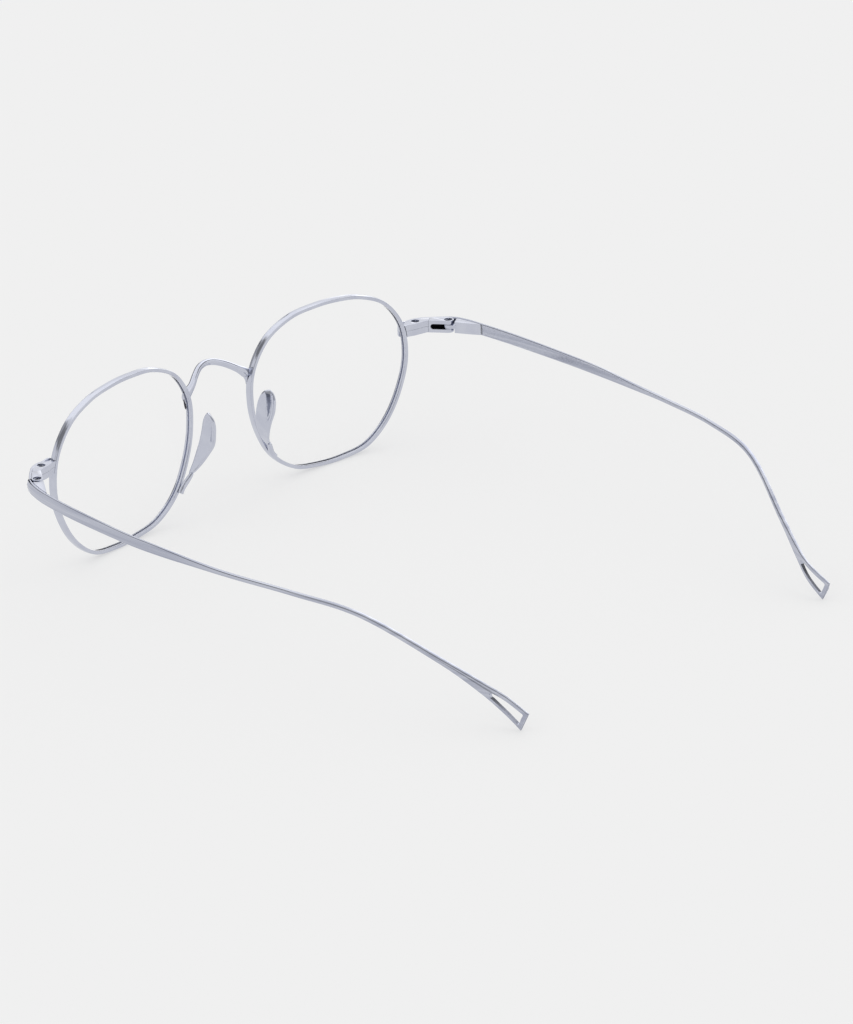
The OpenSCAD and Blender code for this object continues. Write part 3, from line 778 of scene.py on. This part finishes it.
# Share of the temple's reach, distance outside the pin, share of its drop, height and thickness there
TEMPLE_ROWS = [(0, START[0] - HINGE_X, 0, TEMPLE_H, TEMPLE_T), (0.02, 2.9, 0.002, TEMPLE_H, TEMPLE_T),
               (0.06, 4.2, 0.018, TEMPLE_H, TEMPLE_T), (0.14, 5.3, 0.04, TEMPLE_H * 0.98, TEMPLE_T),
               (0.26, 5.9, 0.07, TEMPLE_H * 0.88, TEMPLE_T * 0.95),
               (0.34, 5.6, 0.084, TEMPLE_H * 0.8, TEMPLE_T * 0.95),
               (0.42, 4.7, 0.1, (TEMPLE_H + WIRE_D) / 2 - 0.5, (TEMPLE_T + WIRE_D) / 2),
               (0.5, 3.6, 0.11, WIRE_D, WIRE_D), (0.62, 0.9, 0.126, WIRE_D, WIRE_D),
               (0.74, -3.6, 0.208, WIRE_D * 1.05, WIRE_D), (0.86, -11.3, 0.551, WIRE_D * 1.3, WIRE_D),
               (0.925, -15.3, 0.765, TIP_H * 0.51, WIRE_D * 0.9),
               (0.96, -16.9, 0.879, TIP_H * 0.76, WIRE_D * 0.8),
               (1, -17.4, 0.994, TIP_H - 0.25, WIRE_D * 0.75)]
TEMPLE_DROP = HINGE_Z - (math.cos(TIP_FALL) * TIP_H / 2 - math.sin(TIP_FALL) * TIP_BOW)
OPENING = (11 * TEMPLE_STEPS + 8, 12 * TEMPLE_STEPS + 16)      # first and last point beside the opening


def temple_path():
    rows = [(HINGE_X + r[1], START[1] + r[0] * TEMPLE_REACH, HINGE_Z - r[2] * TEMPLE_DROP, r[3], r[4])
            for r in TEMPLE_ROWS]
    return open_curve(rows, TEMPLE_STEPS)


def make_temples():
    path = temple_path()
    side, up = level_frame(path[:, :3])
    temple = sweep("temple", path[:, :3], side, up, path[:, 4], path[:, 3], fluted_section,
                   Width=MM, Height=MM, Rounding=0.84, Crown=0.4 * MM)
    point, back = butt_plane(BUTT_GAP / 2)
    edit(temple, cut_off(point, [-b for b in back]))
    temple = carve(temple, *tip_cutters(path))
    both_sides(temple, "temple", brushed_titanium_painted_darker, bodies=("temple_left", "temple_right"))


def tip_cutters(path):
    """What is cut from the tip, seen from the side: its opening, and all that lies beyond its rounded end."""
    view = path[:, 1:3]
    run = np.concatenate([[0], np.cumsum(np.linalg.norm(np.diff(view, axis=0), axis=1))])
    ways = headings(view)
    first, last = run[OPENING[0]], run[OPENING[1]]

    def leg_line(s):
        return np.interp(s, run, path[:, 3]) / 2 - TIP_LEG

    turn = np.linspace(0, math.pi / 2, 8)
    apex, corner = leg_line(first), 0.35
    body = np.linspace(first, last - corner, 14)[1:-1]
    s = np.concatenate([first - apex * np.cos(turn), body, last - corner + corner * np.sin(turn)])
    half = np.concatenate([apex * np.sin(turn), leg_line(body), leg_line(last) - corner * (1 - np.cos(turn))])
    half[0] = 0.02
    centre = np.stack([np.interp(s, run, view[:, k]) for k in (0, 1)], 1)
    way = unit(np.stack([np.interp(s, run, ways[:, k]) for k in (0, 1)], 1))
    left = np.stack([-way[:, 1], way[:, 0]], 1)
    opening = np.concatenate([centre + left * half[:, None], (centre - left * half[:, None])[::-1]])

    flat = TIP_H / 2 - TIP_ROUND
    v = np.concatenate([np.linspace(0, flat, 8), flat + TIP_ROUND * np.sin(turn[1:])])
    past = np.maximum(v - TIP_H / 2 + TIP_ROUND, 0)
    drop = TIP_TRIM + TIP_END_BOW * (v / (TIP_H / 2)) ** 2 + TIP_ROUND - np.sqrt(TIP_ROUND ** 2 - past ** 2)
    v, drop = np.append(v, TIP_H), np.append(drop, drop[-1])
    v, drop = np.concatenate([-v[:0:-1], v]), np.concatenate([drop[:0:-1], drop])
    tip, on, across = view[-1], ways[-1], np.array([-ways[-1][1], ways[-1][0]])
    beyond = [tip - on * d + across * w for w, d in zip(v, drop)]
    beyond += [tip + on * 3 + across * TIP_H, tip + on * 3 - across * TIP_H]
    near, far = 30, 90      # the left tip lies between them
    return side_prism("opening cutter", opening, near, far), side_prism("end cutter", beyond, near, far)


BLOCK_TOP, BLOCK_BOTTOM = HINGE_Z + BLOCK_H / 2, HINGE_Z - BLOCK_H / 2
LEAF_START = -SLOT_L - 0.5
RIM_BACK_Y = SIDE_Y + RIM_D / 2
RIM_SCREW = (SIDE_X + 3, SIDE_Y + 0.25)
WEDGE_STEPS = 2 * TEMPLE_STEPS                        # the wedge ends two rows down the temple


def from_pin(p):
    """Seen from above, how far outside and how far behind the left hinge's pin a point lies."""
    x, y = p[0] - HINGE_X, p[1] - HINGE_Y
    return (x * math.cos(HINGE_TURN) - y * math.sin(HINGE_TURN),
            x * math.sin(HINGE_TURN) + y * math.cos(HINGE_TURN))


def kept(ring, back, sign):
    """The part of a plan behind a line across the hinge (sign 1) or ahead of it (sign -1)."""
    out = []
    for a, b in zip(ring, ring[1:] + ring[:1]):
        da, db = sign * (from_pin(a)[1] - back), sign * (from_pin(b)[1] - back)
        if da >= 0:
            out.append(a)
        if da * db < 0:
            t = da / (da - db)
            out.append((a[0] + t * (b[0] - a[0]), a[1] + t * (b[1] - a[1])))
    return out


def arc(p, q, r, start, end, steps):
    """Points round a circle in the hinge's own frame."""
    return [hinge_point(p + r * math.cos(a), q + r * math.sin(a))
            for a in np.linspace(math.radians(start), math.radians(end), steps)]


def core_ring():
    """Plan of everything behind the plate, from the rim to the ears."""
    ring = [tuple(p) for p in beside(FACE, PLATE_T + SEAT_GAP) if from_pin(p)[1] < -0.5]
    ring += arc(0, 0, KNUCKLE_R, 0, 180, 25)
    ring += [hinge_point(-KNUCKLE_R - 0.4, LEAF_START - 0.4), (SIDE_X + 1.5, RIM_BACK_Y + 0.6),
             (SIDE_X + 0.1, RIM_BACK_Y), (SIDE_X - 1, RIM_BACK_Y)]
    return ring


def rim_cutter():
    """The room that the rim takes, from well ahead of it to well behind it."""
    outline, _ = lens_outline(RIM_OUT + SEAT_GAP, RIM_STEPS)
    flat = np.ones(len(outline))
    return solid_between("rim cutter", *(from_lens(outline[:, 0], y * flat, outline[:, 1]) for y in (-4, 6)))


def shank_hole(x, y, low, high):
    return disc(x, y, SCREW_D / 2 + HOLE_PLAY, low - 1, high + 1)


def head_recess(x, y):
    return disc(x, y, HEAD_D / 2 + SEAT_GAP, BLOCK_TOP - HEAD_T - HEAD_SINK, BLOCK_TOP + 1)


def make_rim_blocks():
    """The block that closes the rim is split at middle height and drawn together by a screw."""
    ring = kept(core_ring(), LEAF_START - SEAT_GAP, -1)
    for stem, low, high in (("rim_block_upper", HINGE_Z + SEAT_GAP / 2, BLOCK_TOP),
                            ("rim_block_lower", BLOCK_BOTTOM, HINGE_Z - SEAT_GAP / 2)):
        cutters = [rim_cutter(), shank_hole(*RIM_SCREW, low, high)]
        if high == BLOCK_TOP:
            cutters.append(head_recess(*RIM_SCREW))
        block = ease(carve(prism("rim block", ring, low, high), *cutters), 0.06, 3, 35)
        both_sides(block, stem, titanium, 30)


def make_hinge_fronts():
    """The leaf with its two ears, and the open slot between them."""
    leaf = prism("hinge leaf", kept(core_ring(), LEAF_START, 1), BLOCK_BOTTOM, BLOCK_TOP)
    half = SLOT_H / 2
    side = [(-SLOT_L + half - half * math.sin(a), half * math.cos(a)) for a in np.linspace(0, math.pi, 17)]
    side += [(5, -half), (5, half)]
    slot = solid_between("slot cutter", *([(*hinge_point(p, q), HINGE_Z + z) for q, z in side] for p in (-5, 5)))
    leaf = carve(leaf, slot, shank_hole(HINGE_X, HINGE_Y, BLOCK_BOTTOM, BLOCK_TOP),
                 head_recess(HINGE_X, HINGE_Y))
    leaf = ease(leaf, 0.06, 3, 35)

    # Painted shade: the walls inside the slot are coloured near-black.
    def in_slot(x, y, z, outwards):
        p, q = from_pin((x, y))
        return abs(z - HINGE_Z) < half + 0.02 and -SLOT_L - 0.1 < q < -0.6 and p > -KNUCKLE_R + 0.1

    pieces = both_sides(leaf, "hinge_front", titanium, 30)
    darken(pieces, in_slot, painted_shade_metal)


def make_temple_hinges():
    """The tongue between the ears, and the wedge that carries it inside the temple."""
    path = temple_path()[:WEDGE_STEPS + 1]
    inner = [tuple(p) for p in beside(path, path[:, 4:5] / 2 + SEAT_GAP)]
    solid_from = KNUCKLE_R + SWING_GAP
    ring = kept([hinge_point(-KNUCKLE_R, 0)] + inner[::-1], solid_from, 1)
    wedge = prism("wedge", ring, BLOCK_BOTTOM - 1, BLOCK_TOP + 1)
    top = path[:, 2] + path[:, 3] / 2 - WEDGE_STEP
    low = path[:, 2] - path[:, 3] / 2 + WEDGE_STEP
    ahead, behind = -9, path[-1, 1] + 2
    above = [*zip(path[:, 1], top), (behind, top[-1]), (behind, 60), (ahead, 60), (ahead, top[0])]
    below = [*zip(path[:, 1], low), (behind, low[-1]), (behind, 0), (ahead, 0), (ahead, low[0])]
    cutters = [side_prism("side cutter", ring, HINGE_X - 12, HINGE_X + 12) for ring in (above, below)]
    wedge = ease(carve(wedge, *cutters), 0.05, 3, 35)
    tongue_h = SLOT_H - 2 * WASHER_T - 2 * RUN_GAP
    r = KNUCKLE_R - 0.1
    ring = arc(0, 0, r, 180, 360, 33) + [hinge_point(r, solid_from + 0.3), hinge_point(-r, solid_from + 0.3)]
    tongue = carve(prism("tongue", ring, HINGE_Z - tongue_h / 2, HINGE_Z + tongue_h / 2),
                   disc(HINGE_X, HINGE_Y, SCREW_D / 2 + RUN_GAP, BLOCK_BOTTOM, BLOCK_TOP))
    tongue = ease(tongue, 0.03, 2, 35)
    end = temple_path()[WEDGE_STEPS:WEDGE_STEPS + 2]
    near, far = beside(end, end[:, 4:5] / 2 - 0.1), beside(end, end[:, 4:5] / 2 + 0.06)
    seam = prism("seam", [tuple(p) for p in near] + [tuple(p) for p in far[::-1]],
                 end[0, 2] - end[0, 3] / 2 + 0.3, end[0, 2] + end[0, 3] / 2 - 0.3)
    both = bmesh.new()
    for piece in (seam, wedge, tongue):
        both.from_mesh(piece.data)
    both.to_mesh(wedge.data)
    both.free()
    bpy.data.objects.remove(seam)
    bpy.data.objects.remove(tongue)
    seam_from = end[0, 1] - 0.2
    pieces = both_sides(wedge, "temple_hinge", titanium, 30, ("temple_left", "temple_right"))
    darken(pieces, lambda x, y, z, outwards: y > seam_from, screw_steel)


def screw_tree():
    """A screw on its own axis: a shank, and a domed head with a driver's slot."""
    t = Tree("screw", [
        ("Shank radius", "NodeSocketFloat", MM), ("Length", "NodeSocketFloat", MM),
        ("Head radius", "NodeSocketFloat", MM), ("Head depth", "NodeSocketFloat", MM),
        ("Dome", "NodeSocketFloat", 0.0), ("Slot width", "NodeSocketFloat", MM),
        ("Slot depth", "NodeSocketFloat", MM), ("Material", "NodeSocketMaterial", None)])
    given = t.given.outputs
    shank = t.node("MeshCylinder", Vertices=40, Radius=given["Shank radius"], Depth=given["Length"])
    under = t.times(t.math("ADD", given["Length"], given["Head depth"]), -0.5)
    low = t.node("Transform", Geometry=shank, Translation=t.joined(0, 0, under))
    head = t.node("MeshCylinder", Vertices=48, Side_Segments=1, Fill_Segments=8, Radius=given["Head radius"],
                  Depth=given["Head depth"])
    x, y, z = t.parts(t.node("InputPosition"))
    far = t.math("SQRT", t.math("ADD", t.times(x, x), t.times(y, y)))
    far = t.math("DIVIDE", far, given["Head radius"])
    lift = t.times(given["Dome"], t.math("SUBTRACT", 0.0, t.math("POWER", far, 4.0)))
    raised = t.times(lift, t.math("GREATER_THAN", z, 0.0))
    domed = t.node("SetPosition", Geometry=head, Offset=t.joined(0, 0, raised))
    room = t.joined(t.times(given["Head radius"], 3.0), given["Slot width"], t.times(given["Slot depth"], 2.0))
    box = t.node("MeshCube", Size=room)
    top = t.times(given["Head depth"], 0.5)
    lid = t.node("Transform", Geometry=box, Translation=t.joined(0, 0, top))
    cut = t.tree.nodes.new("GeometryNodeMeshBoolean")
    cut.operation = "DIFFERENCE"
    t.plug(cut.inputs["Mesh 1"], domed)
    t.plug(cut.inputs["Mesh 2"], lid)
    together = t.tree.nodes.new("GeometryNodeJoinGeometry")
    for part in (cut, low):
        t.plug(together.inputs[0], part)
    real = t.node("RealizeInstances", Geometry=together)
    t.plug(t.result.inputs[0], t.node("SetMaterial", Geometry=real, Material=given["Material"]))
    return t.tree


def make_screws():
    tree = screw_tree()
    middle = BLOCK_TOP - HEAD_SINK - HEAD_T / 2
    for stem, (x, y), turn in (("rim_screw", RIM_SCREW, WRAP + math.radians(60)),
                               ("hinge_screw", (HINGE_X, HINGE_Y), math.radians(8))):
        obj = link(bpy.data.objects.new("screw", bpy.data.meshes.new("screw")))
        screw = run_tree(obj, tree, Shank_radius=SCREW_D / 2 * MM, Length=(BLOCK_H - HEAD_SINK - HEAD_T) * MM,
                         Head_radius=HEAD_D / 2 * MM, Head_depth=HEAD_T * MM, Dome=HEAD_DOME * MM,
                         Slot_width=DRIVER_W * MM, Slot_depth=DRIVER_T * MM, Material=screw_steel)
        place = Matrix.Translation((x * MM, (y + SHIFT_Y) * MM, middle * MM))
        screw.data.transform(place @ Matrix.Rotation(turn, 4, "Z"))
        edit(screw)
        both_sides(screw, stem, screw_steel, 30)


make_rims()
make_lenses()
make_bridge()
make_pads()
make_pad_arms()
make_endpieces()
make_temples()
make_rim_blocks()
make_hinge_fronts()
make_temple_hinges()
make_screws()
for obj in (plain_section, grooved_section, round_section, fluted_section):
    bpy.data.objects.remove(obj)
for name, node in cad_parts.items():
    node.data.materials.clear()
    node.data.materials.append(screw_steel if "screw" in name else titanium)

# Floor, light and camera
PALE = 0.871                               # the backdrop's tone
FLOOR_HALF, FLOOR_DROP = 6.0, 0.00002      # metres: half its side, and how far it lies below the rims
OWN_SHARE = 0.55                           # share of the floor's colour that shows without shade
SENSOR, FOCAL_PIXELS, PHOTO_PIXELS = 36.0, 8394.1178, 1024


def make_floor():
    """A floor of the backdrop's tone that keeps the shadow of the glasses."""
    mesh = bpy.data.meshes.new("floor")
    r = FLOOR_HALF
    mesh.from_pydata([(-r, -r, 0), (r, -r, 0), (r, r, 0), (-r, r, 0)], [], [(0, 1, 2, 3)])
    floor = link(bpy.data.objects.new("floor", mesh))
    floor.location.z = -FLOOR_DROP
    f = Finish("pale floor")
    f.shader.inputs["Base Color"].default_value = (PALE, PALE, PALE, 1)
    f.shader.inputs["Roughness"].default_value = 1.0
    f.shader.inputs["Specular IOR Level"].default_value = 0.0
    own = f.add("Emission")
    own.inputs["Color"].default_value = (PALE, PALE, PALE, 1)
    ray = f.add("LightPath")
    seen = ray.outputs["Is Camera Ray"]
    for kind in ("Is Glossy Ray", "Is Transmission Ray"):
        either = f.add("Math", operation="MAXIMUM")
        f.feed(either.inputs[0], seen)
        f.feed(either.inputs[1], ray.outputs[kind])
        seen = either.outputs[0]
    share = f.add("Math", operation="MULTIPLY")
    f.feed(share.inputs[0], seen)
    share.inputs[1].default_value = OWN_SHARE
    both = f.add("MixShader")
    f.feed(both.inputs[0], share.outputs[0])
    f.feed(both.inputs[1], f.shader.outputs[0])
    f.feed(both.inputs[2], own.outputs[0])
    f.feed(f.nodes["Material Output"].inputs["Surface"], both.outputs[0])
    mesh.materials.append(f.material)


# What polished metal mirrors: azimuth from and to, elevation from and to, softness of the edges, tone.
CARDS = [(-200, 200, 62, 100, 6, 1.05), (75, 182, 34, 62, 5, 1.15), (184, 226, -14, 60, 4, 1.75),
         (214, 292, 28, 66, 4, 1.2), (214, 240, 13, 30, 3, 1.0), (240, 288, -4, 27, 3, 0.04),
         (284, 302, -3, 46, 3, 0.45), (300, 336, 24, 52, 3, 0.24), (-20, 76, -4, 56, 8, 0.42),
         (148, 180, 34, 49, 3, 0.1)]


def make_world():
    """Even light, and for the metal a pale tent with brighter panels and dark cards."""
    world = bpy.data.worlds.new("studio")
    bpy.context.scene.world = world
    world.use_nodes = True
    nodes, links = world.node_tree.nodes, world.node_tree.links

    def feed(socket, value):
        if isinstance(value, bpy.types.NodeSocket):
            links.new(value, socket)
        else:
            socket.default_value = value

    def number(operation, *values):
        n = nodes.new("ShaderNodeMath")
        n.operation = operation
        for socket, value in zip(n.inputs, values):
            feed(socket, value)
        return n.outputs[0]

    def between_edges(value, low, high, soft):
        parts = []
        for start, end in ((low - soft, low + soft), (high + soft, high - soft)):
            n = nodes.new("ShaderNodeMapRange")
            n.interpolation_type = "SMOOTHSTEP"
            feed(n.inputs["Value"], value)
            n.inputs["From Min"].default_value = min(start, end)
            n.inputs["From Max"].default_value = max(start, end)
            n.inputs["To Min"].default_value = 0.0 if start < end else 1.0
            n.inputs["To Max"].default_value = 1.0 if start < end else 0.0
            parts.append(n.outputs[0])
        return number("MULTIPLY", *parts)

    way = nodes.new("ShaderNodeSeparateXYZ")
    links.new(nodes.new("ShaderNodeTexCoord").outputs["Generated"], way.inputs[0])
    x, y, z = way.outputs
    degrees = 180 / math.pi
    azimuth = number("MULTIPLY", number("ARCTAN2", y, x), degrees)
    elevation = number("MULTIPLY", number("ARCSINE", z), degrees)
    tone = PALE
    for left, right, low, high, soft, value in CARDS:
        turned = number("SUBTRACT", azimuth, (left + right) / 2)
        folded = number("WRAP", turned, 180.0, -180.0)
        share = number("MULTIPLY", between_edges(folded, (left - right) / 2, (right - left) / 2, soft),
                       between_edges(elevation, low, high, soft))
        kept_tone = number("MULTIPLY", tone, number("SUBTRACT", 1.0, share))
        tone = number("ADD", kept_tone, number("MULTIPLY", share, value))

    even = nodes["Background"]
    even.inputs["Color"].default_value = (1, 1, 1, 1)
    shown = nodes.new("ShaderNodeBackground")
    shown.inputs["Color"].default_value = (PALE, PALE, PALE, 1)
    mirrored_tent = nodes.new("ShaderNodeBackground")
    links.new(tone, mirrored_tent.inputs["Color"])
    ray = nodes.new("ShaderNodeLightPath")
    for_eye, for_metal = nodes.new("ShaderNodeMixShader"), nodes.new("ShaderNodeMixShader")
    seen = number("MAXIMUM", ray.outputs["Is Camera Ray"], ray.outputs["Is Transmission Ray"])
    links.new(ray.outputs["Is Glossy Ray"], for_metal.inputs[0])
    links.new(even.outputs[0], for_metal.inputs[1])
    links.new(mirrored_tent.outputs[0], for_metal.inputs[2])
    links.new(seen, for_eye.inputs[0])
    links.new(for_metal.outputs[0], for_eye.inputs[1])
    links.new(shown.outputs[0], for_eye.inputs[2])
    links.new(for_eye.outputs[0], nodes["World Output"].inputs["Surface"])


def make_camera():
    """Where the photograph was taken from: two metres away, with a long lens."""
    camera = bpy.data.cameras.new("camera")
    camera.sensor_width = SENSOR
    camera.lens = FOCAL_PIXELS * SENSOR / PHOTO_PIXELS
    camera.clip_start, camera.clip_end = 0.1, 50.0
    obj = link(bpy.data.objects.new("camera", camera))
    right = Vector((-0.705585, 0.708112, -0.026976))
    up = Vector((-0.287059, -0.250816, 0.924494))
    back = Vector((0.647879, 0.660052, 0.380242))
    turn = Matrix((right, up, back)).transposed().to_4x4()
    eye = Vector((1247.56, 1338.22 + SHIFT_Y, 747.87)) * MM
    obj.matrix_world = Matrix.Translation(eye) @ turn
    bpy.context.scene.camera = obj


make_floor()
make_world()
make_camera()
bpy.context.scene.view_settings.view_transform = "Standard"
